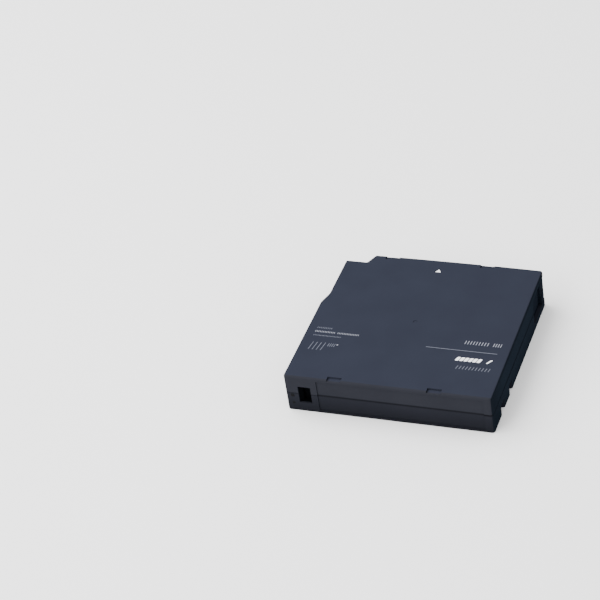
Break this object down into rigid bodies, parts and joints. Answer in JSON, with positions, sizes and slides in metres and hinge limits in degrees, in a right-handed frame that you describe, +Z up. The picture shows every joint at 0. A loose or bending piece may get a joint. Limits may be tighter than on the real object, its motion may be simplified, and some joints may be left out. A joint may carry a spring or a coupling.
{
  "type": "data tape cartridge",
  "caption": "Single-reel data tape cartridge for half-inch tape, with a sliding tape door, a geared reel with a brake, and a write-protect switch.",
  "frame": {"origin": "middle of the case's bottom face, on the reel's axis", "axes": "+Z up, towards the top face with the arrow; +Y the way the cartridge goes into a drive; +X the side with the tape door"},
  "size_m": [0.1054, 0.102, 0.0215],
  "materials": {
    "case_plastic": "slate grey moulded plastic with a fine spark texture",
    "base_plastic": "darker grey moulded plastic with a fine spark texture",
    "door_plastic": "dark grey moulded plastic",
    "switch_plastic": "near-black moulded plastic",
    "hub_plastic": "white moulded plastic",
    "release_plastic": "pale grey moulded plastic",
    "brake_plastic": "pale moulded plastic",
    "clamp_plastic": "dark moulded plastic",
    "tape_film": "dark brown-black polyester film",
    "board_laminate": "green circuit board laminate",
    "chip_resin": "black chip resin",
    "pin_steel": "turned steel",
    "plate_steel": "pressed steel",
    "spring_steel": "bright spring steel",
    "screw_steel": "zinc plated steel"
  },
  "bodies": {
    "case": {"top_shell": "case_plastic", "bottom_shell": "base_plastic", "case_screws": "screw_steel", "memory_board": "board_laminate", "memory_chip": "chip_resin", "retaining_clip": "spring_steel", "leader_pin": "pin_steel", "tape_clamp": "clamp_plastic", "leader_tape": "tape_film", "door_spring": "spring_steel", "brake_spring": "spring_steel"},
    "door": {"access_door": "door_plastic"},
    "write_protect": {"write_protect_switch": "switch_plastic"},
    "reel": {"reel_hub": "hub_plastic", "reel_plate": "plate_steel", "upper_flange": "hub_plastic", "tape_pack": "tape_film"},
    "release": {"release_spider": "release_plastic"},
    "brake": {"brake_button": "brake_plastic"}
  },
  "joints": [
    {"name": "door_slide", "type": "slide", "parent": "case", "child": "door", "axis": [0, -1, 0], "range_m": [0, 0.0155], "stiffness_N_per_m": 15, "springref_m": -0.01, "deforming": ["door_spring"]},
    {"name": "write_protect_slide", "type": "slide", "parent": "case", "child": "write_protect", "axis": [-1, 0, 0], "range_m": [0, 0.003]},
    {"name": "reel_spin", "type": "hinge", "parent": "case", "child": "reel", "pos_m": [0, 0, 0], "axis": [0, 0, 1], "continuous": true},
    {"name": "release_lift", "type": "slide", "parent": "reel", "child": "release", "axis": [0, 0, 1], "range_m": [0, 0.0018]},
    {"name": "brake_lift", "type": "slide", "parent": "case", "child": "brake", "axis": [0, 0, 1], "range_m": [0, 0.0018], "stiffness_N_per_m": 200, "springref_m": -0.0015, "deforming": ["brake_spring"]}
  ],
  "couplings": [
    {"joint": "brake_lift", "follows": "release_lift", "ratio": 1}
  ]
}
